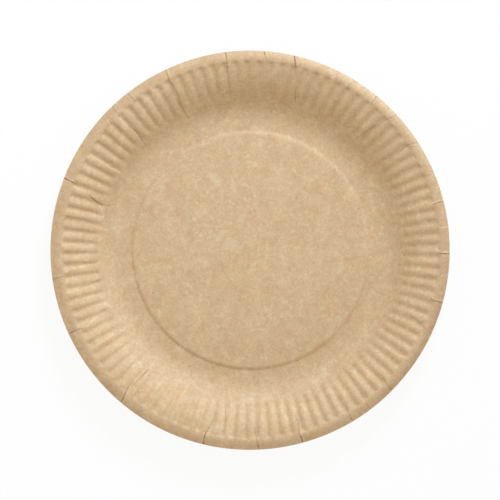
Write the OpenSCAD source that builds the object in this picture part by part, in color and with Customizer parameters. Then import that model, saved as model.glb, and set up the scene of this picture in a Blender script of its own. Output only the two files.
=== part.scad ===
// Round disposable plate, pressed in one piece from a flat disc of kraft board.
// The sheet keeps one thickness everywhere: a raised disc in the middle, a flat
// ring that the plate stands on, a fluted sloping rim and a lip rolled outwards.
// The origin is the middle of the face that the plate stands on, and +Z is up.

/* [Plate] */
// Diameter across the lip
plate_d = 230; // [185:1:290]
// Height from the face it stands on to the top of the rim
plate_h = 15.3; // [12.6:0.1:18.4]
// Thickness of the board
board_t = 0.45; // [0.3:0.01:0.7]

/* [Middle] */
// Width of the flat ring that the plate stands on
ring_w = 2.9; // [1.5:0.1:5]
// Height of the step from the ring up to the disc inside it
step_h = 1; // [0.4:0.05:1.4]
// Radial width of the step, which is rounded at its top and foot
step_w = 4; // [3:0.1:7]
// How far the disc's level middle stands above the step's top
disc_crown = 0.5; // [0.1:0.05:0.8]
// Radial width of the disc's sloping margin round its level middle
disc_margin_w = 16; // [8:0.5:30]

/* [Rim] */
// Radial width of the whole rim, from the flat ring to the cut edge
rim_w = 42; // [34.5:0.5:52]
// Radius of the bend from the flat ring up into the rim
foot_bend_r = 23.5; // [14:0.5:28]
// Length of the straight stretch of the rim's slope, above that bend
wall_l = 8; // [3:0.5:12]
// Slope that the rim has left where it meets the lip's roll, in degrees
shoulder_slope = 10; // [6:0.5:14]
// Radial width of the lip, from the top of the rim to the cut edge
lip_w = 4.5; // [3.4:0.05:6]
// Radius of the roll that turns the rim over into the lip
lip_bend_r = 7.5; // [5:0.1:10]
// Slope of the lip from the roll down to the cut edge, in degrees
lip_slope = 17; // [10:0.5:24]

/* [Flutes] */
// Number of flutes round the rim
flute_count = 100; // [60:1:110]
// Depth of a flute's valley below the ridges beside it
flute_depth = 0.75; // [0.3:0.05:1.1]
// Radial distance from the flat ring to the flutes' inner ends
flute_inset = 12.5; // [8:0.5:18]
// Radial length over which the flutes fade in
flute_fade_in = 6; // [3:0.5:9]
// Radial length over which the flutes stop below the lip
flute_fade_out = 2.7; // [1:0.1:5]
// Radial distance from the flutes' outer ends to the top of the rim
flute_gap = 0.3; // [0.2:0.1:3]

/* [Hidden] */

// Points round a ring of the mesh: one to a flute where the sheet is smooth, more
// where it is fluted
smooth_steps = flute_count;
flute_steps = 4 * flute_count;
// How much narrower the valleys are than the ridges: 1 is an even wave
valley_power = 1.2;
// Distance over which a slope is taken, as a share of the plate's radius
slope_share = 0.0002;

plate_r = plate_d / 2;
ring_outer_r = plate_r - rim_w;
ring_inner_r = ring_outer_r - ring_w;
disc_edge_r = ring_inner_r - step_w;
disc_level_r = disc_edge_r - disc_margin_w;
top_r = plate_r - lip_w;
edge_r = plate_r - board_t / 2 * sin(lip_slope);
flute_start_r = ring_outer_r + flute_inset;
flute_full_r = flute_start_r + flute_fade_in;
flute_end_r = top_r - flute_gap;
flute_last_full_r = flute_end_r - flute_fade_out;

// The rim's section: the foot's bend, a straight wall, the shoulder's bend that eases the
// slope again, the roll over the top, and the straight lip. Height and width decide how
// steep the wall gets, because each stretch goes on in the direction of the last.
rise = plate_h - board_t;
roll_start_r = top_r - lip_bend_r * sin(shoulder_slope);
roll_start_z = rise - lip_bend_r * (1 - cos(shoulder_slope));
roll_end_r = top_r + lip_bend_r * sin(lip_slope);
roll_end_z = rise - lip_bend_r * (1 - cos(lip_slope));
across = roll_start_r - ring_outer_r - foot_bend_r * sin(shoulder_slope) + wall_l * cos(shoulder_slope);
up = roll_start_z - foot_bend_r * (1 - cos(shoulder_slope)) + wall_l * sin(shoulder_slope);
steepest = 2 * atan2(up, across) - shoulder_slope;
wall_start_r = ring_outer_r + foot_bend_r * sin(steepest);
wall_start_z = foot_bend_r * (1 - cos(steepest));
wall_end_r = wall_start_r + wall_l * cos(steepest);
shoulder_bend_r = (roll_start_r - wall_end_r) / (sin(steepest) - sin(shoulder_slope));

// How far an arc has left its level tangent, at a distance along that tangent
function arc_drop(radius, distance) = radius - sqrt(radius * radius - distance * distance);

function disc_z(r) =
    step_h * (1 - fade(r, disc_edge_r, ring_inner_r))
    + disc_crown * (1 - fade(r, disc_level_r, ring_inner_r));

function shoulder_z(r) =
    roll_start_z
    + arc_drop(shoulder_bend_r, shoulder_bend_r * sin(shoulder_slope))
    - arc_drop(shoulder_bend_r, shoulder_bend_r * sin(shoulder_slope) + roll_start_r - r);

// Height of the sheet's middle surface over the ring's, without the flutes
function section_z(r) =
    r < ring_inner_r ? disc_z(r) :
    r <= ring_outer_r ? 0 :
    r < wall_start_r ? arc_drop(foot_bend_r, r - ring_outer_r) :
    r < wall_end_r ? wall_start_z + (r - wall_start_r) * tan(steepest) :
    r < roll_start_r ? shoulder_z(r) :
    r < roll_end_r ? rise - arc_drop(lip_bend_r, abs(r - top_r)) :
    roll_end_z - (r - roll_end_r) * tan(lip_slope);

// Smooth rise from 0 to 1 between two radii
function fade(r, from, to) =
    let (share = min(1, max(0, (r - from) / (to - from))))
    (1 - cos(180 * share)) / 2;

// Share of the full depth that the flutes have at a radius
function flute_share(r) =
    fade(r, flute_start_r, flute_full_r) * (1 - fade(r, flute_last_full_r, flute_end_r));

// Depth of the sheet below the ridges: valleys are narrow and ridges are wide
function flute_dip(r, a) =
    flute_depth * flute_share(r) * pow((1 + cos(a * flute_count)) / 2, valley_power);

function sheet_z(r, a) = section_z(r) - flute_dip(r, a);
function sheet_point(r, a) = [r * cos(a), r * sin(a), sheet_z(r, a)];

// Unit vector square to the sheet, from the slopes along and across the radius
function sheet_normal(r, a) =
    let (
        step = slope_share * plate_r,
        turn = step / r * 180 / PI,
        along = (sheet_z(r, a) - sheet_z(r - step, a)) / step,
        across = (sheet_z(r, a + turn) - sheet_z(r, a - turn)) / (2 * step),
        normal = [across * sin(a) - along * cos(a), -across * cos(a) - along * sin(a), 1]
    )
    normal / norm(normal);

// Points of one face of the board: side is 1 for the upper face and -1 for the under face
function face_ring(r, steps, side) = [
    for (i = [0 : steps - 1])
        let (a = i * 360 / steps)
        sheet_point(r, a) + [0, 0, board_t / 2] + side * board_t / 2 * sheet_normal(r, a)
];

// Radii that divide a stretch into equal bands, without the one that it starts from
function divided(from, to, bands) = [for (i = [1 : bands]) from + (to - from) * i / bands];

// The rings of points from the disc to the cut edge, each as radius and number of points
rings = [
    [disc_level_r, smooth_steps],
    [disc_edge_r, smooth_steps],
    for (r = divided(disc_edge_r, ring_inner_r, 2)) [r, smooth_steps],
    [ring_outer_r, smooth_steps],
    for (r = divided(ring_outer_r, flute_start_r, 4)) [r, smooth_steps],
    [flute_full_r, flute_steps],
    for (r = divided(flute_full_r, flute_last_full_r, 3)) [r, flute_steps],
    [flute_end_r, smooth_steps],
    for (r = [top_r, roll_end_r, edge_r]) [r, smooth_steps],
];

// Number of the first point of a ring, counted after the point in the middle
function ring_start(i) = i == 0 ? 1 : ring_start(i - 1) + rings[i - 1][1];
face_points = ring_start(len(rings) - 1) + rings[len(rings) - 1][1];

// Triangles between ring i and the next one out. Each step of the ring with fewer
// points takes a fan of triangles from each of its two ends, which meet halfway.
function band(i) =
    let (
        grows = rings[i][1] <= rings[i + 1][1],
        few = min(rings[i][1], rings[i + 1][1]),
        many = max(rings[i][1], rings[i + 1][1]),
        few_start = ring_start(grows ? i : i + 1),
        many_start = ring_start(grows ? i + 1 : i),
        ratio = many / few,
        half = ceil(ratio / 2)
    )
    [
        for (j = [0 : few - 1])
            let (
                here = few_start + j,
                next = few_start + (j + 1) % few,
                meeting = many_start + (j * ratio + half) % many
            )
            each [
                for (k = [0 : ratio - 1])
                    let (
                        tip = k < half ? here : next,
                        a = many_start + j * ratio + k,
                        b = many_start + (j * ratio + k + 1) % many
                    )
                    grows ? [tip, b, a] : [tip, a, b],
                grows ? [here, next, meeting] : [here, meeting, next]
            ]
    ];

// All triangles of the upper face, turning clockwise as seen from above
upper_faces = concat(
    [for (j = [0 : smooth_steps - 1]) [0, 1 + (j + 1) % smooth_steps, 1 + j]],
    [for (i = [0 : len(rings) - 2]) each band(i)]
);
under_faces = [for (f = upper_faces) [for (k = [2, 1, 0]) f[k] + face_points]];

// The cut edge joins the last rings of the two faces
edge_start = face_points - smooth_steps;
edge_faces = [
    for (j = [0 : smooth_steps - 1])
        let (a = edge_start + j, b = edge_start + (j + 1) % smooth_steps)
        each [[a, b, b + face_points], [a, b + face_points, a + face_points]]
];

module plate() {
    upper_points = [
        [0, 0, section_z(0) + board_t],
        for (ring = rings) each face_ring(ring[0], ring[1], 1)
    ];
    under_points = [
        [0, 0, section_z(0)],
        for (ring = rings) each face_ring(ring[0], ring[1], -1)
    ];
    color("burlywood")
        polyhedron(
            points = concat(upper_points, under_points),
            faces = concat(upper_faces, under_faces, edge_faces)
        );
}

plate();
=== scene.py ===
import math

import bpy
import numpy as np
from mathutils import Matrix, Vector


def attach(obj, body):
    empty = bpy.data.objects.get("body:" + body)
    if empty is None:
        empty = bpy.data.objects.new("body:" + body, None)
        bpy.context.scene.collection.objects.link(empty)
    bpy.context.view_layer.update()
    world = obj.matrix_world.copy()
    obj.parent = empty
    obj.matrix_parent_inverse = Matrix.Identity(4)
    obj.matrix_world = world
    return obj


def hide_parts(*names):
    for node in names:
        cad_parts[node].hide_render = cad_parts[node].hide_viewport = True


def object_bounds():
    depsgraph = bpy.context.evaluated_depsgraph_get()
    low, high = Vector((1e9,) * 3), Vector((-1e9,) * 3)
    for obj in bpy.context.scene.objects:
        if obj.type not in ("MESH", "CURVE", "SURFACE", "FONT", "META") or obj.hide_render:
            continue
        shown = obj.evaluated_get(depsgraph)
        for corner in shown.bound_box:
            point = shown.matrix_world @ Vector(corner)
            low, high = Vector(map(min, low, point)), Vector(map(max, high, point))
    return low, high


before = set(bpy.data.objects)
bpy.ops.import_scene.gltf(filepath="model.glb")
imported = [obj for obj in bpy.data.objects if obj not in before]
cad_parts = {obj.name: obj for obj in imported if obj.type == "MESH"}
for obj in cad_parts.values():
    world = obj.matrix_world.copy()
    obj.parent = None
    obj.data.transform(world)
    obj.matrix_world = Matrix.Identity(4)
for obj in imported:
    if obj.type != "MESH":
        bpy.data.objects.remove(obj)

cad_low, cad_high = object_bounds()

# The plate's form.
# A round blank of kraft board, pressed between heated dies into a raised disc, a flat
# ring that it stands on, a fluted sloping rim and a lip rolled outwards. Metres.
MM = 0.001
PLATE_R = (cad_high.x - cad_low.x) / 2
BOARD = 0.45 * MM
WAVES = 0.09 * MM  # about how far the rim is off level, up and down
WAVE_LOBES = range(3, 12)
WAVE_ROOM = 0.25 * MM  # what the rim is kept lower by, so that its waves stay in the box
RISE = cad_high.z - BOARD - WAVE_ROOM
RING_W = 3.45 * MM
STEP_H = 1.0 * MM
STEP_W = 4.0 * MM
DISC_CROWN = 0.9 * MM
DISC_MARGIN_W = 16 * MM
RIM_W = 42 * MM
FOOT_BEND_R = 23.5 * MM
WALL_L = 8 * MM
SHOULDER_SLOPE = math.radians(10)
LIP_W = 4.6 * MM
LIP_BEND_R = 7.5 * MM
LIP_SLOPE = math.radians(18.2)
LIP_CURL = math.radians(3)  # how much further down it has turned at its edge
# The dies didn't press quite evenly: on the left the step is lower and narrower than this
LOW_SIDE_TURN = math.radians(180)
LOW_SIDE_H = 0.6 * MM
LOW_SIDE_W = 1.5 * MM
LOW_SIDE_SHIFT = 0.5 * MM
STEP_SKEW = 1.6  # how much its steepest part lies towards the standing ring
# They struck the blank a little off its middle, so that the lip is wider on one side
PRESS_CENTRE = (0.5 * MM, 0.2 * MM)

RING_OUT_R = PLATE_R - RIM_W
RING_IN_R = RING_OUT_R - RING_W
DISC_R = RING_IN_R - STEP_W
DISC_LEVEL_R = DISC_R - DISC_MARGIN_W
TOP_R = PLATE_R - LIP_W
EDGE_R = PLATE_R - BOARD / 2 * math.sin(LIP_SLOPE)

# The rim's section: the foot's bend, a straight wall, the shoulder's bend that eases the
# slope again, the roll over the top, and the lip. These are where they meet. How steep the
# wall is follows from what the foot, the wall and the shoulder cover, across and up.
ROLL_START_R = TOP_R - LIP_BEND_R * math.sin(SHOULDER_SLOPE)
ROLL_START_Z = RISE - LIP_BEND_R * (1 - math.cos(SHOULDER_SLOPE))
ROLL_END_R = TOP_R + LIP_BEND_R * math.sin(LIP_SLOPE)
ROLL_END_Z = RISE - LIP_BEND_R * (1 - math.cos(LIP_SLOPE))
ACROSS = (
    ROLL_START_R - RING_OUT_R
    + WALL_L * math.cos(SHOULDER_SLOPE) - FOOT_BEND_R * math.sin(SHOULDER_SLOPE)
)
UP = (
    ROLL_START_Z
    + WALL_L * math.sin(SHOULDER_SLOPE) - FOOT_BEND_R * (1 - math.cos(SHOULDER_SLOPE))
)
STEEPEST = 2 * math.atan2(UP, ACROSS) - SHOULDER_SLOPE
WALL_START_R = RING_OUT_R + FOOT_BEND_R * math.sin(STEEPEST)
WALL_START_Z = FOOT_BEND_R * (1 - math.cos(STEEPEST))
WALL_END_R = WALL_START_R + WALL_L * math.cos(STEEPEST)
SHOULDER_R = (ROLL_START_R - WALL_END_R) / (math.sin(STEEPEST) - math.sin(SHOULDER_SLOPE))

FLUTES = 100
FLUTE_DEPTHS = (93, 0.62), (99, 0.745)  # radius and depth, in millimetres
FLUTE_SWINGS = (95, 0.7), (104, 0.36)  # radius, and how much deeper they are on one side
FLUTE_SWING_TURN = math.radians(205)  # towards the deeper ones
FLUTE_START_R = 85.5 * MM
FLUTE_FULL_R = 91.5 * MM
FLUTE_DRIFT = 0.75 * MM  # how much further out they start on one side than on average
FLUTE_DRIFT_TURN = math.radians(129)
FLUTE_STOP_R = 107.3 * MM
FLUTE_END_R = 109.8 * MM
FLUTE_MOUTH_R = 102 * MM  # towards their outer ends the flutes get deeper from here
FLUTE_MOUTH_FULL_R = 107 * MM
FLUTE_MOUTH = 0.21
FLUTE_MOUTH_SWING = 0.17
FLUTE_MOUTH_TURN = math.radians(320)
VALLEY_POWER = 1.2  # how much narrower the valleys are than the ridges
FLUTE_CROWDING = 0.39 * MM  # how far they crowd together towards the plate's +X side


def fade(x, start, end):
    """Rises smoothly from 0 at the start to 1 at the end."""
    share = np.clip((x - start) / (end - start), 0, 1)
    return (1 - np.cos(np.pi * share)) / 2


def along(r, rows, column=1):
    """What a table of radii in millimetres and values gives at the radius r."""
    return np.interp(r, [row[0] * MM for row in rows], [row[column] for row in rows])


def arc_drop(bend_r, distance):
    """How far an arc has left its level tangent, at a distance along that tangent."""
    return bend_r - np.sqrt(np.maximum(bend_r**2 - distance**2, 0))


def section_height(r, turn):
    """Height of the board's middle surface over the standing ring's, without flutes."""
    low_share = ((1 + np.cos(turn - LOW_SIDE_TURN)) / 2) ** 2
    step_w = STEP_W - LOW_SIDE_W * low_share
    foot_r = RING_IN_R - LOW_SIDE_SHIFT * low_share
    step_share = np.clip(1 - (foot_r - r) / step_w, 0, 1) ** STEP_SKEW
    step = (STEP_H - LOW_SIDE_H * low_share) * (1 - fade(step_share, 0, 1))
    shoulder_end = SHOULDER_R * math.sin(SHOULDER_SLOPE)
    along_lip = (r - ROLL_END_R) / (EDGE_R - ROLL_END_R)
    lip_drop = math.tan(LIP_SLOPE) * along_lip + math.tan(LIP_CURL) * along_lip**2 / 2
    return np.select(
        [
            r < RING_IN_R, r < RING_OUT_R, r < WALL_START_R, r < WALL_END_R,
            r < ROLL_START_R, r < ROLL_END_R,
        ],
        [
            step + DISC_CROWN * (1 - fade(r, DISC_LEVEL_R, RING_IN_R)),
            0 * r,
            arc_drop(FOOT_BEND_R, r - RING_OUT_R),
            WALL_START_Z + (r - WALL_START_R) * math.tan(STEEPEST),
            ROLL_START_Z
            + arc_drop(SHOULDER_R, shoulder_end)
            - arc_drop(SHOULDER_R, shoulder_end + ROLL_START_R - r),
            RISE - arc_drop(LIP_BEND_R, r - TOP_R),
        ],
        ROLL_END_Z - (EDGE_R - ROLL_END_R) * lip_drop,
    )


def flute_dip(r, turn):
    """Depth below the ridges: the flutes fade in on the slope and stop under the rim's top."""
    drift = FLUTE_DRIFT * np.cos(turn - FLUTE_DRIFT_TURN)
    share = fade(r - drift, FLUTE_START_R, FLUTE_FULL_R)
    share = share * (1 - fade(r, FLUTE_STOP_R, FLUTE_END_R))
    swing = along(r, FLUTE_SWINGS) * np.cos(turn - FLUTE_SWING_TURN)
    depth = along(r, FLUTE_DEPTHS) * MM * (1 + swing)
    mouth = FLUTE_MOUTH + FLUTE_MOUTH_SWING * np.cos(turn - FLUTE_MOUTH_TURN)
    depth = depth * (1 + mouth * fade(r, FLUTE_MOUTH_R, FLUTE_MOUTH_FULL_R))
    return depth * share * ((1 + np.cos(FLUTES * turn)) / 2) ** VALLEY_POWER


# The blank: a disc of rings of points, a millimetre or so apart where the rim bends and
# further apart on the flat middle. Each ring is extruded from the one inside it.
COLUMNS = 1200
STRETCHES = [  # from the middle out: where each stretch ends, and its number of rings
    (DISC_LEVEL_R, 1), (DISC_R, 2), (RING_IN_R, 7), (RING_OUT_R, 1), (FLUTE_START_R, 5),
    (FLUTE_FULL_R, 4), (FLUTE_STOP_R, 8), (FLUTE_END_R, 5), (ROLL_END_R, 4), (EDGE_R, 3),
]
blank_rings = []
for end_r, count in STRETCHES:
    start_r = blank_rings[-1] if blank_rings else 0
    blank_rings += [start_r + (end_r - start_r) * (i + 1) / count for i in range(count)]
bpy.ops.object.select_all(action="DESELECT")
bpy.ops.mesh.primitive_circle_add(
    vertices=COLUMNS, radius=blank_rings[0], fill_type="TRIFAN", location=(0, 0, 0)
)
plate = bpy.context.object
plate.name = "pressed_plate"
bpy.ops.object.mode_set(mode="EDIT")
bpy.ops.mesh.select_mode(type="EDGE")
bpy.ops.mesh.select_all(action="DESELECT")
bpy.ops.mesh.select_non_manifold()
for inner, outer in zip(blank_rings, blank_rings[1:]):
    bpy.ops.mesh.extrude_edges_move(TRANSFORM_OT_translate={"value": (0, 0, 0)})
    bpy.ops.transform.resize(value=(outer / inner, outer / inner, 1))
bpy.ops.mesh.select_all(action="SELECT")
bpy.ops.mesh.normals_make_consistent(inside=False)
bpy.ops.object.mode_set(mode="OBJECT")

# The folds and creases. A flat blank has more edge than the pressed rim has room for, and
# where the flutes can't take it up the board folds over in a thin line from the cut edge.
# Each line is its points, as millimetres from the middle, degrees in the picture and how
# dark or pale it is painted there, from 1 for dark to -1 for pale: the fold's wear together
# with painted shade in its groove and painted light on its lit side. Then come, in
# millimetres, how deep its groove is and how far its counterclockwise side stands above the
# other, and last how pale the line beside it on the lip is painted, as painted light on the
# fold's flank with paler worn board, which is on the clockwise side where this is negative.
PICTURE_TURN = 1.37  # degrees that the picture is turned from the plate's own +X
FOLDS_FROM = (-0.03 * MM, -0.13 * MM)  # the point that their angles and radii count from
CREASES = [
    ([(114.6, 6.9, -0.6), (112, 6.8, -1), (111, 6.8, -0.7)], 0, -0.08, 0),
    (
        [(115, 14.3, 0.5), (113.5, 14.3, 0.45), (112, 14.3, 0.25), (110.5, 14.2, 0.35),
         (109.5, 14.2, 0.2), (108.5, 14.1, -0.15), (107, 13.9, -0.1)],
        0.04, 0.08, 0.9,
    ),
    ([(112.5, 22.9, 0.25), (110, 23.4, 0.35)], 0.02, 0, 0),
    ([(112.5, 32.3, 0.3), (109, 33, 0.3)], 0, 0, 0),
    (
        [(115, 33, 0.45), (112, 33.3, 0.3), (110, 33.7, 0.35), (108, 33.9, 0.25),
         (106, 33.7, 0.4), (102, 33.3, 0.25), (98, 33.1, 0.1), (95.5, 33.5, 0.05),
         (94, 34.2, 0.25), (92, 34.7, 0.15), (90.5, 35.2, 0)],
        0.05, 0.06, 0,
    ),
    (
        [(115, 42.6, 0.1), (112, 43.3, 0.3), (110, 43.6, 0.35), (108.6, 43.8, 0.35),
         (107, 44.1, 0.15), (104, 44.4, 0.2), (102, 44.8, 0.25), (100, 45.2, 0.3),
         (98, 45.6, 0.3), (96, 45.8, 0.3), (93, 46.2, 0.3), (88, 46.4, 0.3), (87, 46.4, 0)],
        0.03, 0.04, 0,
    ),
    ([(115, 50.7, 0.5), (112, 50.6, 0.35), (109.5, 50.6, 0.25)], 0.04, 0, 0.4),
    ([(115, 58.3, 0.2), (111, 58.9, 0.2), (110, 59, 0.4), (109, 59, 0)], 0.03, 0.03, 0),
    (
        [(115, 77.2, 1), (110, 76.2, 1), (108.5, 76, 0.5), (107, 75.7, 0.25),
         (104, 75.2, 0.2), (100, 74.5, 0.1), (96, 74.1, 0.2), (92, 73.5, 0.4),
         (90, 73.1, 0.25), (88, 72.9, 0)],
        0.1, 0.06, 0,
    ),
    ([(115, 86, 0.9), (113.5, 85.7, 0.8), (112, 85.4, 0.4), (110, 84.7, 0.15)], 0.05, 0, -0.2),
    (
        [(115, 97.1, 0.6), (112, 97, 0.55), (110, 97, 0.35), (108, 96.9, 0.45),
         (106, 97, 0.55), (104, 97.1, 0.35), (91, 97, 0.3), (89.5, 97, 0)],
        0.07, 0.05, 0.35,
    ),
    ([(115, 110.4, 0.15), (110, 109.4, 0.05)], 0.02, 0, 0.25),
    (
        [(115, 115, 0.75), (112, 115.1, 0.55), (110, 115.3, 0.55), (108, 115.4, 0.6),
         (106, 115.1, 0.25), (104, 115, 0.35), (100, 114.8, 0.3), (98, 114.7, 0.1),
         (96, 115.2, 0.15), (94, 115.4, 0.3), (88, 115.3, 0.35), (86, 115, 0.3),
         (84, 114.8, 0.15), (83, 114.7, 0)],
        0.08, -0.05, -0.45,
    ),
    ([(99, 123.5, -0.05), (93, 123.9, -0.15), (90, 123.9, 0)], 0, 0, 0),
    (
        [(115, 127.8, 0.35), (112, 127.7, 0.45), (108, 127.6, 0.25), (107, 127.4, -0.3),
         (104, 127.4, -0.35), (101.5, 127.5, -0.3)],
        0.03, -0.03, -0.3,
    ),
    (
        [(115, 133.8, 0.3), (112, 133.9, 0.45), (110, 133.9, 0.3), (108, 134.2, -0.1),
         (106, 134.4, -0.35), (102, 134.7, -0.5), (100, 134.6, -0.35), (99, 134.2, 0),
         (98, 133.7, 0.4), (96, 133.6, 0.35), (92, 133.9, 0.5), (90, 134.1, 0.5),
         (88, 134.4, 0.4), (86, 134.5, 0.2), (84, 134.6, 0.1)],
        0.05, -0.06, -0.2,
    ),
    (
        [(114.5, 136.4, 0.35), (112, 136.7, 0.3), (110, 137.4, 0.3), (108.5, 137.4, 0.3)],
        0.03, 0.03, 0.5,
    ),
    (
        [(114.5, 148.3, 0.35), (109, 148.5, 0.25), (108, 148.8, -0.1), (106, 149, -0.25),
         (102, 149.1, -0.3), (98, 149.3, -0.4), (94, 149.3, -0.5), (90, 149.2, -0.5),
         (87, 149.1, -0.3), (84, 149.4, -0.1), (83, 149.6, 0)],
        0.02, 0.08, 0,
    ),
    ([(114.5, 149, 0.25), (111, 149.5, 0.25)], 0, 0, 0),
    (
        [(115, 158.6, 0.95), (112, 158.8, 1), (107.5, 159.1, 0.9), (106.5, 159.4, 0),
         (106, 159.6, -0.4), (102, 160, -0.5), (100, 160.2, -0.5), (99.2, 160.7, 0),
         (98, 161.1, 0.55), (94, 161.9, 0.7), (92, 162.4, 0.5), (90, 162.8, 0.45),
         (88, 162.6, 0.3), (86, 162.4, 0.3), (84, 162.1, 0.1), (82, 160.8, 0.05)],
        0.1, -0.1, -0.5,
    ),
    (
        [(114.5, 168.6, 0.35), (112, 168.9, 0.35), (110, 169.5, 0.2), (108, 169.3, 0.3),
         (98, 169.4, 0.05), (95, 170, 0.25), (93, 170.4, 0.1), (92, 170.9, -0.15),
         (88, 171.4, -0.3), (85.5, 171.8, -0.3), (84, 171.4, 0), (82, 170.7, 0.2),
         (81, 170.4, 0)],
        0.02, 0.06, 0,
    ),
    ([(113.2, 173, -0.3), (112, 173, -0.3)], 0, 0, 0),
    (
        [(115, 188.5, 0.9), (113.5, 188.4, 0.8), (112.5, 188.1, 0.4), (110, 187.9, 0.15),
         (108.5, 187.9, 0.4), (107.5, 187.9, 0.2)],
        0.04, 0.06, 0,
    ),
    (
        [(114.5, 187.7, -0.2), (113, 187.6, -0.5), (110, 187.4, -0.4), (108, 187.1, -0.1),
         (106, 186.4, -0.15), (104, 186, -0.35), (102, 185.8, -0.3), (98, 185.5, -0.3),
         (94, 185.3, -0.25), (90, 185.1, -0.3), (88, 184.6, -0.25), (86, 183.6, -0.25),
         (85, 183.3, 0)],
        0, 0.06, 0,
    ),
    (
        [(114.5, 191.2, -0.5), (112, 192, -0.45), (110.5, 192.5, -0.3), (109, 193, -0.4),
         (104, 193, -0.4), (100, 192.9, -0.3), (98, 192.6, 0), (96, 192.2, 0.2),
         (94, 191.7, 0.25), (92, 191.3, 0.2), (89, 191, 0.2), (87, 190.7, 0.3), (85, 190.6, 0.1)],
        0.02, -0.04, 0,
    ),
    (
        [(115, 204.8, 0.55), (112, 204.6, 0.65), (110, 204.7, 0.5), (108, 204.7, 0.3),
         (106.5, 205.1, 0.2), (105, 204.9, -0.2), (104, 204.8, -0.35), (102, 204.6, -0.4),
         (98, 203.9, -0.4), (96, 203.4, -0.3), (94, 202.5, 0), (92, 202.2, 0.15),
         (90, 202, 0.25), (89, 201.5, 0), (88, 201, -0.4), (87, 200.8, -0.3)],
        0.08, -0.08, 0.3,
    ),
    (
        [(114.5, 209.8, 0.15), (112, 210.3, 0.3), (110, 210.7, 0.1), (108, 211.5, 0.15),
         (106.5, 211.7, -0.2), (104, 211.6, -0.4), (98, 211.6, -0.4), (92, 211.5, -0.35),
         (90, 211.3, 0.15), (89, 211.4, 0.1), (88, 211.8, -0.3), (86, 211.9, -0.3), (85, 212, 0)],
        0.02, 0.05, 0,
    ),
    ([(115, 218.1, 0.3), (112, 218.2, 0.1), (110, 218.2, 0.1)], 0.02, 0, 0),
    (
        [(115, 229.7, 0.6), (112, 229.4, 0.7), (110, 229.1, 0.8), (108, 228.8, 0.9),
         (106, 228.4, 0.7), (104, 228.2, 0.45), (102, 228.2, 0.3), (101, 228.3, 0)],
        0.08, -0.06, 0.2,
    ),
    (
        [(104, 229, 0.1), (102, 229.1, 0.45), (99, 229.2, 0.55), (97, 229.3, 0.65),
         (91, 229.4, 0.65), (90, 229.6, -0.2), (88, 229.3, -0.2), (86, 228.9, -0.1),
         (85, 228.6, 0.1), (82, 228.4, 0.1), (80, 229, 0)],
        0.04, -0.04, 0,
    ),
    ([(115, 234.7, 0.3), (112, 235.8, 0.35), (109.5, 236.5, 0.2)], 0.03, 0.04, 0),
    (
        [(115, 256.4, 1), (113.5, 256.4, 1), (112, 256.3, 0.8), (110, 256.2, 1),
         (108, 256.4, 0.8), (106, 256.7, 0.6), (104, 257, 0.3), (102, 257.5, 0.3),
         (98, 257.7, 0.15), (96, 257.7, 0)],
        0.1, 0.04, -0.4,
    ),
    (
        [(104.5, 262.2, 0.1), (103, 262.1, 0.3), (99, 261.9, 0.25), (95, 261.5, 0.3),
         (93, 261.3, 0.35), (91, 260.9, 0.3), (89, 260.9, 0.2), (87, 261.1, -0.1),
         (86, 260.4, 0.1)],
        0.03, 0.02, 0,
    ),
    (
        [(115, 272.5, 0.6), (112, 272.5, 1), (110, 272.3, 0.8), (108, 272, 0.6),
         (104, 271.7, 0.6), (102, 271.5, 0.4), (101, 271.5, 0)],
        0.08, 0.04, 0.4,
    ),
    ([(103, 274.5, -0.25), (96, 274, -0.3)], 0, 0, 0),
    ([(113.5, 276, 0.2), (111, 275.8, 0.25)], 0, 0, 0),
    (
        [(115, 285.4, 0.6), (112.5, 285.4, 1), (110, 285.1, 0.8), (108, 285.2, 0.6),
         (106, 285.4, 0.35), (104, 285.6, 0.5), (100, 285.5, 0.3), (98, 285.2, -0.15),
         (96, 285.1, -0.3), (94.5, 285, -0.1)],
        0.08, 0.04, 0.35,
    ),
    (
        [(115, 301, 0.5), (112, 301.1, 0.45), (108, 301.5, 0.35), (106, 301.7, 0.3),
         (104, 302, 0.1), (103, 302.6, -0.3), (102, 302.8, -0.5), (100, 303.1, -0.4),
         (96, 303.5, -0.3), (95, 303.6, 0)],
        0.06, 0.05, 0,
    ),
    (
        [(115, 307.3, 0.3), (112, 307.2, 0.35), (110, 307.4, 0.1), (108, 307.6, -0.1),
         (106.4, 307.6, 0.6), (104, 307.8, 0.2), (102, 307.9, 0.15), (100, 308.1, 0.2),
         (98, 308.4, 0.25), (94, 308.7, 0.15), (90, 308.7, 0.2), (87, 308.5, 0)],
        0.04, 0.05, 0,
    ),
    (
        [(115, 315.5, 0.5), (112, 315.5, 0.5), (110, 315.7, 0.3), (108, 316, 0.5),
         (106, 316.3, 0.25), (105, 316.6, -0.1), (104, 316.8, -0.35), (100, 317, -0.5),
         (96, 317.3, -0.4), (94, 317.5, -0.4), (92, 318, -0.35), (90, 318.5, -0.25),
         (89, 318.8, -0.1)],
        0.05, 0.05, 0,
    ),
    (
        [(109.5, 325.5, -0.15), (107, 325.2, -0.5), (105, 324.8, -0.4), (101, 324.6, -0.35),
         (97, 324.9, -0.3), (95, 325.2, -0.2), (94, 325.4, 0)],
        0, -0.08, 0,
    ),
    ([(114.5, 327.9, 0.2), (110.8, 328, 0.1)], 0.02, 0, 0),
    ([(112, 335.1, 0.25), (110.6, 335.1, 0.25)], 0, 0, 0),
    (
        [(115, 335.4, 0.35), (112, 335.8, 0.3), (110, 336.2, 0.35), (108, 336.6, 0.2),
         (106, 336.9, 0.25), (104, 337.4, 0.3), (102, 337.8, 0.35), (100, 338, 0.2),
         (98, 338, 0.1), (96, 338.3, 0), (94, 338.8, -0.2), (87.5, 339.3, -0.15)],
        0.05, 0.04, 0.3,
    ),
    (
        [(115, 344.8, 0.65), (110, 344.8, 0.55), (108.5, 344.9, 0.3), (107.3, 345.3, -0.1),
         (106, 345.5, -0.5), (104, 345.9, -0.7), (102, 346.4, -0.4), (101, 346.7, -0.15)],
        0.07, 0.06, 0.5,
    ),
    (
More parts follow.
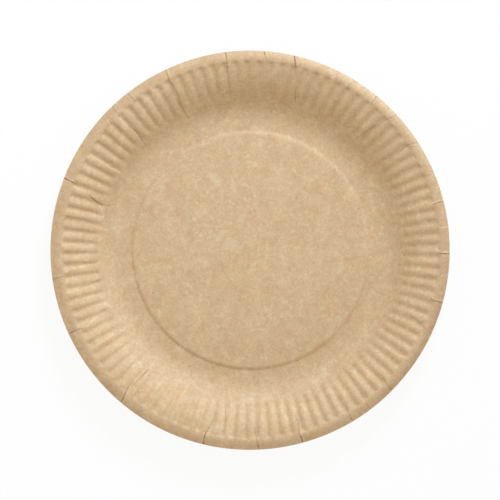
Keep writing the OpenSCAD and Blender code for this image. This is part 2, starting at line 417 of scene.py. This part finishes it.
        [(112, 354.7, 0.15), (110, 354.7, 0.3), (108, 354.8, 0.25), (106, 354.2, -0.05),
         (102, 353.9, -0.15), (98, 353.7, -0.2), (92, 353.1, -0.3), (91, 352.9, -0.1)],
        0, -0.04, 0,
    ),
    ([(114.3, 352.8, -0.8), (112, 352.7, -1), (110.8, 352.3, -0.6)], 0, -0.08, 0),
    (
        [(115, 359.1, 0.6), (113, 359.1, 0.9), (110, 359.1, 0.8), (108.8, 359.2, 0.4),
         (108, 359.6, -0.3), (106, 360, -0.6), (104, 360.3, -0.6), (102, 360.4, -0.4),
         (98, 360.8, -0.2), (96, 361.6, 0.05), (94, 361.8, 0.15), (92, 362.1, 0.15),
         (90, 362.6, 0.1), (87, 363.3, 0)],
        0.05, 0.06, 1,
    ),
]
# The blank was cut a little out of round: degrees in the picture, and millimetres short
TRIM = [
    (0, 0.05), (40, 0), (100, 0), (110, 0.15), (130, 0.2), (150, 0.15), (180, 0.1), (200, 0),
    (250, 0.05), (280, 0.15), (310, 0.1), (320, 0.15), (335, 0),
]
LINE_W = 0.27 * MM  # half the width of a crease's groove and of its worn line
OPENS = (-1.5 * MM, 2.5 * MM)  # about its inner end, where a crease gets its depth
CLOSES = (-0.5 * MM, 1 * MM)  # and about its outer end, where it loses it
THROUGH_R = 114.2 * MM  # one that ends further out than this goes through the cut edge
NOTCH_R = 112.5 * MM  # and from here out it draws the edge in
LINE_MARK_END = 0.3 * MM  # how far past its last point a line is still painted
BESIDE = 0.85 * MM  # from a line to the pale one beside it
BESIDE_START_R = 106 * MM
BESIDE_FULL_R = 109 * MM
FLANK_W = 1.6 * MM  # how far the raised side of a fold takes to come level
GATHER_W = 2.4 * MM  # the columns of points are drawn together over this width
GATHER = 0.62
FOLLOW_W = 5 * MM  # and they follow the line's bends over this one
MIDDLE_R = 100 * MM


def turned(angle):
    """The angle brought to within half a turn of nought."""
    return (angle + np.pi) % (2 * np.pi) - np.pi


class Crease:
    """One fold line: its course as an angle for each radius, and its strength there."""

    def __init__(self, points, groove, step, pale_beside):
        radii, angles, line_wear_and_shade = zip(*reversed(points))
        self.radii = np.array(radii) * MM
        self.angles = np.radians(np.array(angles) - PICTURE_TURN)
        self.line_wear_and_shade = line_wear_and_shade
        self.groove, self.step, self.pale_beside = groove * MM, step * MM, pale_beside
        self.home = float(self.angles.mean())

    def course(self, r):
        """The line's angle at the radius r."""
        return np.interp(r, self.radii, self.angles)

    def strength(self, r):
        """How deep it is, as a share of its full depth."""
        start, end = self.radii[0], self.radii[-1]
        opens = fade(r, start + OPENS[0], start + OPENS[1])
        closes = 1 if end > THROUGH_R else 1 - fade(r, end + CLOSES[0], end + CLOSES[1])
        return opens * closes

    def wear_and_shade_at(self, r, off):
        """How dark or pale the board is painted at a distance from the line, to either side: its
        wear together with painted shade in the fold and painted light beside it.
        """
        line = np.interp(r, self.radii, self.line_wear_and_shade, left=0) * np.exp(-((off / LINE_W) ** 2))
        beside = (off - math.copysign(BESIDE, self.pale_beside)) / LINE_W
        pale = abs(self.pale_beside) * np.exp(-(beside**2))
        pale *= fade(r, BESIDE_START_R, BESIDE_FULL_R)
        return np.where(r < self.radii[-1] + LINE_MARK_END, line - pale, 0)

    def distance(self, r, angle):
        """How far a point is from the line, counted across the line."""
        slope = np.interp(r, self.radii, np.gradient(self.angles, self.radii)) * r
        return turned(angle - self.course(r)) * r / np.sqrt(1 + slope**2)


creases = [Crease(*row) for row in CREASES]

# Pressing: every point of the blank goes to its place in the form.
coords = np.empty(len(plate.data.vertices) * 3, dtype=np.float32)
plate.data.vertices.foreach_get("co", coords)
x, y, _ = coords.reshape(-1, 3).astype(float).T
radius, angle = np.hypot(x, y), np.arctan2(y, x)

spokes = angle.copy()
for crease in creases:
    off = turned(spokes - crease.home) * MIDDLE_R
    spokes = spokes - GATHER * off / MIDDLE_R * np.exp(-((off / GATHER_W) ** 2))
angle = spokes.copy()
for crease in creases:
    off = turned(spokes - crease.home) * MIDDLE_R
    bend = (crease.course(radius) - crease.home) * np.exp(-((off / FOLLOW_W) ** 2))
    angle = angle + bend * fade(radius, RING_OUT_R, FLUTE_START_R)

# The flutes' angles count from the dies' middle, and the creases' nearly from the outline's.
lip_share = fade(radius, TOP_R, EDGE_R)
centre_x, centre_y = PRESS_CENTRE[0] * (1 - lip_share), PRESS_CENTRE[1] * (1 - lip_share)
x = centre_x + radius * np.cos(angle)
y = centre_y + radius * np.sin(angle)
outer_angle = np.arctan2(y - FOLDS_FROM[1], x - FOLDS_FROM[0])
outer_radius = np.hypot(x - FOLDS_FROM[0], y - FOLDS_FROM[1])

rng = np.random.default_rng(23)


def waviness(turn, lobes, size):
    """A smooth random wave round the plate, made of a few whole numbers of lobes."""
    total = 0 * turn
    for count in lobes:
        total = total + rng.normal() * np.cos(count * turn + rng.uniform(0, 2 * np.pi))
    return size * total / math.sqrt(len(lobes))


flute_turn = angle + FLUTE_CROWDING / np.maximum(radius, RING_OUT_R) * np.sin(angle)
z = section_height(radius, angle) - flute_dip(radius, flute_turn)
z += waviness(angle, WAVE_LOBES, WAVES) * fade(radius, WALL_START_R, TOP_R)

wear_and_shade = 0 * radius
fold = 0 * radius
inset = np.interp(np.degrees(outer_angle) + PICTURE_TURN, *zip(*TRIM), period=360) * MM
inset *= fade(outer_radius, TOP_R, PLATE_R)
for crease in creases:
    off = crease.distance(outer_radius, outer_angle)
    strength = crease.strength(outer_radius)
    line = np.exp(-((off / LINE_W) ** 2))
    side = np.tanh(off / LINE_W) * np.exp(-((off / FLANK_W) ** 2)) / 2
    fold += strength * (crease.step * side - crease.groove * line)
    wear_and_shade += crease.wear_and_shade_at(outer_radius, off)
    inset += crease.groove * line * fade(outer_radius, NOTCH_R, PLATE_R) * strength
shrink = 1 - inset / np.maximum(outer_radius, MM)
coords = np.stack([x * shrink, y * shrink, z + BOARD / 2], axis=1)
plate.data.vertices.foreach_set("co", coords.astype(np.float32).ravel())

# The board is a little darker in some bands by radius. Its sloping rim is painted lighter
# along one diagonal of the picture and darker along the other: painted light and shade on
# the slopes, and none on the flat middle.
BAND_TONES_AND_LIGHT_SWING = [  # radius in millimetres, the board's brightness there, and the swing of its painted light and shade
    (0, 1, 0), (50, 1, 0), (57, 0.97, 0), (65, 0.97, 0), (66.3, 0.99, 0), (68.3, 0.945, 0),
    (70.5, 0.96, 0), (75, 0.953, 0), (80.5, 0.98, 0.02), (83.5, 0.982, 0.05),
    (86.5, 0.993, 0.06), (90, 0.987, 0.06), (93.5, 1.007, 0.06), (96.5, 1.005, 0.043),
    (100, 0.989, 0.023), (103, 0.973, 0.015), (106, 0.966, 0), (108, 0.945, -0.03),
    (109.5, 0.945, -0.01), (111.2, 0.94, 0.02), (112.4, 0.946, 0.055), (113.4, 0.958, 0.085),
    (115, 0.975, 0.09),
]
# towards where the swing paints the rim lighter
LIGHT_SWING_TURN = math.radians(57 - PICTURE_TURN)
LIP_SWING = 0.07  # the lip's tone also swings three times round the plate
LIP_PALE_TURN = math.radians(46 - PICTURE_TURN)
tone_and_shade = along(radius, BAND_TONES_AND_LIGHT_SWING)
tone_and_shade *= (
    1 + along(radius, BAND_TONES_AND_LIGHT_SWING, 2) * np.cos(2 * (angle - LIGHT_SWING_TURN))
    + LIP_SWING * fade(radius, TOP_R, PLATE_R) * np.cos(3 * (angle - LIP_PALE_TURN))
)
# Painted shade: one flank of each flute is painted a little darker
PAINTED_FLANK_SHADE = [
    (86, 0), (89, 0.04), (93, 0.06), (100, 0.06), (104, 0.035), (108, 0.01), (109.5, 0),
]
tone_and_shade *= 1 - along(radius, PAINTED_FLANK_SHADE) * np.sin(FLUTES * flute_turn)
# On the low side the step's edge has a thin dark line of painted shade, as in a crease
STEP_SHADE = 0.1
STEP_SHADE_R = 68.2 * MM
STEP_SHADE_W = 0.65 * MM
step_shade = np.exp(-(((radius - STEP_SHADE_R) / STEP_SHADE_W) ** 2))
tone_and_shade *= 1 - STEP_SHADE * step_shade * np.maximum(np.cos(angle - LOW_SIDE_TURN), 0)

fold_wear_and_shade = plate.data.attributes.new("fold_wear_and_shade", "FLOAT", "POINT")
fold_wear_and_shade.data.foreach_set("value", wear_and_shade.astype(np.float32))
BROWNING = (0.83, 1.02, 1.30, 0)  # where the board is darker, by its tones and its painted shade, it is browner: the power by channel
tone_and_painted_shade = plate.data.attributes.new("tone_and_painted_shade", "FLOAT_COLOR", "POINT")
tone_and_painted_shade.data.foreach_set("color", (tone_and_shade[:, None] ** BROWNING).astype(np.float32).ravel())
plate.data.update()

thickness = plate.modifiers.new("board", "SOLIDIFY")
thickness.thickness = BOARD
thickness.offset = 0
bpy.ops.object.modifier_apply(modifier="board")

# The fold lines go through the board, so both of its faces take them.
coords = np.empty(len(plate.data.vertices) * 3, dtype=np.float32)
plate.data.vertices.foreach_get("co", coords)
coords = coords.reshape(-1, 3)
coords[:, 2] += np.concatenate([fold, fold]).astype(np.float32)
plate.data.vertices.foreach_set("co", coords.ravel())
plate.data.update()
SMOOTH_BELOW = math.radians(50)  # only the cut edge is sharper than this
bpy.ops.object.shade_smooth_by_angle(angle=SMOOTH_BELOW)


# The board's finish: unbleached kraft pulp, matt and uncoated. Thin places between the
# fibres are paler, thick ones browner, down to the size of a fibre. Beside that the fibres
# themselves are more orange or more violet, and a few dark specks are bark.
board = bpy.data.materials.new("kraft_board")
board.use_nodes = True
tree = board.node_tree
shader = tree.nodes["Principled BSDF"]
shader.inputs["Roughness"].default_value = 0.75
shader.inputs["Specular IOR Level"].default_value = 0.3
place = tree.nodes.new("ShaderNodeTexCoord").outputs["Object"]

KRAFT = (0.643, 0.460, 0.275)
PALE = (1.115, 1.19, 1.24)  # how many times lighter the palest fibres are, by channel
DEEP = (0.875, 0.815, 0.77)  # and the brownest ones
ORANGE = (1.05, 1.03, 0.955)
VIOLET = (0.95, 0.97, 1.05)
FLECK = (1.08, 1.13, 1.16)
MOTTLES = [  # size of the patches in millimetres, and how strong they are
    (12, 0.72), (6, 0.66), (3, 1.0), (1.4, 0.9), (0.6, 1.3),
]
HUES = [(8, 0.7), (2.5, 0.7), (0.8, 0.9)]
PALE_GAIN = 1.4  # the pale patches are this many times stronger than the brown ones
FLECK_SIZE = 1.8 * MM
FLECK_RANGE = (0.57, 0.7)  # of the noise, from where a fleck starts to where it is full
GRAIN_SIZE = 0.6 * MM
GRAIN_DEPTH = 0.1 * MM
LINE_PATCH_SIZE = 1.5 * MM
LINE_PATCH_RANGE = (0.6, 1.3)  # the fold lines' wear and their painted shade and light are uneven, between these shares
LINE_WEAR_AND_SHADE = (0.25, 0.10, 0.05)  # how many times darker a fully dark fold line is: its wear with painted shade in the fold
# how many times paler a fully pale one is: its wear with painted light on the fold's flank
LINE_WEAR_AND_LIGHT = (1.45, 1.50, 1.58)
BARK_BROWN = (0.30, 0.17, 0.08)
SPECKS = [  # radius and angle of each speck in the picture, and its own radius, in mm
    (41.3, 135.8, 0.5), (67.0, 21.1, 0.5), (65.4, 179.5, 0.5), (50.1, 58.4, 0.5),
    (69.0, 293.3, 0.5), (60.9, 203.4, 0.5), (92.3, 231.2, 0.5), (84.7, 298.9, 0.5),
]
SPECK_CORE = 0.3  # share of a speck's radius inside which it is darkest
SPECK_SHARE = 0.8


def noise(size, detail, rough, turn=0.0, bent=0.0):
    """Noise whose largest patches are about size metres across, and then ever smaller."""
    mapping = tree.nodes.new("ShaderNodeMapping")
    mapping.inputs["Rotation"].default_value = (0, 0, turn)
    texture = tree.nodes.new("ShaderNodeTexNoise")
    texture.inputs["Scale"].default_value = 1 / size
    texture.inputs["Detail"].default_value = detail
    texture.inputs["Roughness"].default_value = rough
    texture.inputs["Distortion"].default_value = bent
    tree.links.new(place, mapping.inputs["Vector"])
    tree.links.new(mapping.outputs[0], texture.inputs["Vector"])
    return texture.outputs["Fac"]


def between(value, low, high, start=0.0, end=1.0, smooth=True):
    """The value brought from its own range, low to high, to the one from start to end."""
    node = tree.nodes.new("ShaderNodeMapRange")
    node.interpolation_type = "SMOOTHSTEP" if smooth else "LINEAR"
    node.inputs["From Min"].default_value = low
    node.inputs["From Max"].default_value = high
    node.inputs["To Min"].default_value = start
    node.inputs["To Max"].default_value = end
    tree.links.new(value, node.inputs["Value"])
    return node.outputs[0]


def tint(share, shade, over, mode="MIX"):
    """Lays a shade over a colour by a share."""
    node = tree.nodes.new("ShaderNodeMix")
    node.data_type = "RGBA"
    node.blend_type = mode
    node.clamp_factor = True
    tree.links.new(share, node.inputs["Factor"])
    tree.links.new(over, node.inputs["A"])
    node.inputs["B"].default_value = (*shade, 1)
    return node.outputs["Result"]


def mottled(patches, strength, high, low, over):
    """Lays patches over a colour: one shade where the noise is high, another where it's low."""
    pale_share = between(patches, 0.5, 1.0, 0, PALE_GAIN * strength)
    over = tint(pale_share, high, over, "MULTIPLY")
    return tint(between(patches, 0.5, 0.0, 0, strength, smooth=False), low, over, "MULTIPLY")


base = tree.nodes.new("ShaderNodeRGB")
base.outputs[0].default_value = (*KRAFT, 1)
colour = base.outputs[0]
for size, strength in MOTTLES:
    colour = mottled(noise(size * MM, 1, 0.8, bent=1), strength, PALE, DEEP, colour)
for size, strength in HUES:
    colour = mottled(noise(size * MM, 1, 0.8, turn=1), strength, ORANGE, VIOLET, colour)
flecks = between(noise(FLECK_SIZE, 2, 0.7, turn=2, bent=1), *FLECK_RANGE)
colour = tint(flecks, FLECK, colour, "MULTIPLY")

# The board's tones and its painted light and shade, point by point
tones = tree.nodes.new("ShaderNodeAttribute")
tones.attribute_name = "tone_and_painted_shade"
toned = tree.nodes.new("ShaderNodeMix")
toned.data_type = "RGBA"
toned.blend_type = "MULTIPLY"
toned.inputs["Factor"].default_value = 1
tree.links.new(colour, toned.inputs["A"])
tree.links.new(tones.outputs["Color"], toned.inputs["B"])
colour = toned.outputs["Result"]

from_axis = tree.nodes.new("ShaderNodeVectorMath")
from_axis.operation = "MULTIPLY"
from_axis.inputs[1].default_value = (1, 1, 0)
tree.links.new(place, from_axis.inputs[0])
for speck_r, speck_angle, size in SPECKS:
    turn = math.radians(speck_angle - PICTURE_TURN)
    speck_at = (speck_r * MM * math.cos(turn), speck_r * MM * math.sin(turn), 0)
    apart = tree.nodes.new("ShaderNodeVectorMath")
    apart.operation = "DISTANCE"
    apart.inputs[1].default_value = speck_at
    tree.links.new(from_axis.outputs[0], apart.inputs[0])
    inside = between(
        apart.outputs["Value"], size * MM, SPECK_CORE * size * MM, 0, SPECK_SHARE
    )
    colour = tint(inside, BARK_BROWN, colour)

# The fold lines: their wear together with painted shade in the folds and painted light beside
# them
lines = tree.nodes.new("ShaderNodeAttribute")
lines.attribute_name = "fold_wear_and_shade"
uneven = tree.nodes.new("ShaderNodeMath")
uneven.operation = "MULTIPLY"
tree.links.new(lines.outputs["Fac"], uneven.inputs[0])
line_patches = noise(LINE_PATCH_SIZE, 1, 0.7)
tree.links.new(between(line_patches, 0.35, 0.65, *LINE_PATCH_RANGE), uneven.inputs[1])
colour = tint(between(uneven.outputs[0], 0, 1, smooth=False), LINE_WEAR_AND_SHADE, colour, "MULTIPLY")
colour = tint(between(uneven.outputs[0], 0, -1, smooth=False), LINE_WEAR_AND_LIGHT, colour, "MULTIPLY")
tree.links.new(colour, shader.inputs["Base Color"])

bump = tree.nodes.new("ShaderNodeBump")
bump.inputs["Strength"].default_value = 0.15
bump.inputs["Distance"].default_value = GRAIN_DEPTH
tree.links.new(noise(GRAIN_SIZE, 3, 0.7), bump.inputs["Height"])
tree.links.new(bump.outputs[0], shader.inputs["Normal"])
plate.data.materials.clear()
plate.data.materials.append(board)
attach(plate, "root")
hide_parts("plate")


# The floor: a plain white sheet that the plate lies on. It has a round opening under the
# plate, inside the standing ring, and seen from below it is clear, so that the plate's
# underside is lit and shows from there.
FLOOR_R = 3.0
FLOOR_OPENING_R = RING_IN_R - 1.5 * MM
FLOOR_Z = -0.05 * MM  # a hair below the standing ring
bpy.ops.object.select_all(action="DESELECT")
bpy.ops.mesh.primitive_circle_add(
    vertices=96, radius=FLOOR_OPENING_R, fill_type="NOTHING", location=(0, 0, FLOOR_Z)
)
floor = bpy.context.object
floor.name = "floor"
bpy.ops.object.mode_set(mode="EDIT")
bpy.ops.mesh.select_all(action="SELECT")
bpy.ops.mesh.extrude_edges_move(TRANSFORM_OT_translate={"value": (0, 0, 0)})
wider = FLOOR_R / FLOOR_OPENING_R
bpy.ops.transform.resize(value=(wider, wider, 1))
bpy.ops.object.mode_set(mode="OBJECT")
if floor.data.polygons[0].normal.z < 0:
    floor.data.flip_normals()
white = bpy.data.materials.new("white_floor")
white.use_nodes = True
nodes, links = white.node_tree.nodes, white.node_tree.links
nodes.clear()
paint = nodes.new("ShaderNodeBsdfDiffuse")
paint.inputs["Color"].default_value = (0.9, 0.9, 0.9, 1)
glow = nodes.new("ShaderNodeEmission")
glow.inputs["Strength"].default_value = 1.0
GLOW_SHARE = 0.93  # the rest is the floor's own paint, which takes the plate's soft shadow
seen = nodes.new("ShaderNodeLightPath")
share = nodes.new("ShaderNodeMath")
share.operation = "MULTIPLY"
share.inputs[1].default_value = GLOW_SHARE
links.new(seen.outputs["Is Camera Ray"], share.inputs[0])
lit = nodes.new("ShaderNodeMixShader")
links.new(share.outputs[0], lit.inputs["Fac"])
links.new(paint.outputs[0], lit.inputs[1])
links.new(glow.outputs[0], lit.inputs[2])
clear = nodes.new("ShaderNodeBsdfTransparent")
behind = nodes.new("ShaderNodeNewGeometry")
both = nodes.new("ShaderNodeMixShader")
links.new(behind.outputs["Backfacing"], both.inputs["Fac"])
links.new(lit.outputs[0], both.inputs[1])
links.new(clear.outputs[0], both.inputs[2])
output = nodes.new("ShaderNodeOutputMaterial")
links.new(both.outputs[0], output.inputs["Surface"])
floor.data.materials.append(white)

# The light: one large soft lamp from beyond the top of the picture, and an even fill. The
# lamp points past the left of the plate, so that its light falls off to the right.
LAMP_TURN = math.radians(74 - PICTURE_TURN)
LAMP_ELEVATION = math.radians(33)
LAMP_DISTANCE = 1.6
LAMP_SIZE = 0.6
LAMP_AIM = 2.1  # from the plate's middle to where the lamp points
DIRECT = 0.45  # the lamp's share of the light on a level sheet
LAMP_TINT = (0.86, 1.00, 1.20)  # a cool lamp and a warm room: shaded board looks browner
lamp_at = LAMP_DISTANCE * Vector((
    math.cos(LAMP_TURN) * math.cos(LAMP_ELEVATION),
    math.sin(LAMP_TURN) * math.cos(LAMP_ELEVATION),
    math.sin(LAMP_ELEVATION),
))
aim = LAMP_AIM * Vector((-math.sin(LAMP_TURN), math.cos(LAMP_TURN), 0))
aim_share = LAMP_DISTANCE / math.hypot(LAMP_DISTANCE, LAMP_AIM)
lamp_data = bpy.data.lights.new("soft_lamp", "AREA")
lamp_data.shape = "DISK"
lamp_data.size = LAMP_SIZE
lamp_data.color = LAMP_TINT
lamp_data.energy = (
    DIRECT * math.pi**2 * LAMP_DISTANCE**2 / (math.sin(LAMP_ELEVATION) * aim_share)
)
lamp = bpy.data.objects.new("soft_lamp", lamp_data)
bpy.context.collection.objects.link(lamp)
lamp.location = lamp_at
lamp.rotation_euler = (lamp_at - aim).to_track_quat("Z", "Y").to_euler()

world = bpy.data.worlds.new("white_room")
world.use_nodes = True
bpy.context.scene.world = world
nodes, links = world.node_tree.nodes, world.node_tree.links
background = nodes["Background"]
background.inputs["Strength"].default_value = 1
seen = nodes.new("ShaderNodeLightPath")
room = nodes.new("ShaderNodeMix")
room.data_type = "RGBA"
room.inputs["A"].default_value = (*[1 - DIRECT * channel for channel in LAMP_TINT], 1)
room.inputs["B"].default_value = (1, 1, 1, 1)
links.new(seen.outputs["Is Camera Ray"], room.inputs["Factor"])
links.new(room.outputs["Result"], background.inputs["Color"])

# The camera: above the plate as in the photograph, which was taken a degree off the upright,
# from the side of the picture's lower edge. The picture is 500 pixels wide.
PICTURE_PX = 500
OUTLINE_PX = (250.02, 250.30)  # the outline's middle in the picture
OUTLINE_R_PX = 199.75
CAMERA_DISTANCE = 1.5
CAMERA_TILT = math.radians(0.93)
camera_data = bpy.data.cameras.new("camera")
camera = bpy.data.objects.new("camera", camera_data)
bpy.context.collection.objects.link(camera)
camera_data.type = "ORTHO"
camera_data.ortho_scale = PICTURE_PX * PLATE_R / OUTLINE_R_PX
camera_data.shift_x = (PICTURE_PX / 2 - OUTLINE_PX[0]) / PICTURE_PX
camera_data.shift_y = (OUTLINE_PX[1] - PICTURE_PX / 2) / PICTURE_PX
turn = math.radians(PICTURE_TURN)
camera.location = CAMERA_DISTANCE * Vector((
    -math.sin(CAMERA_TILT) * math.sin(turn), -math.sin(CAMERA_TILT) * math.cos(turn),
    math.cos(CAMERA_TILT),
)) + Vector((0, 0, RISE))
camera.rotation_euler = (CAMERA_TILT, 0, -turn)
bpy.context.scene.camera = camera
bpy.context.scene.view_settings.view_transform = "Standard"
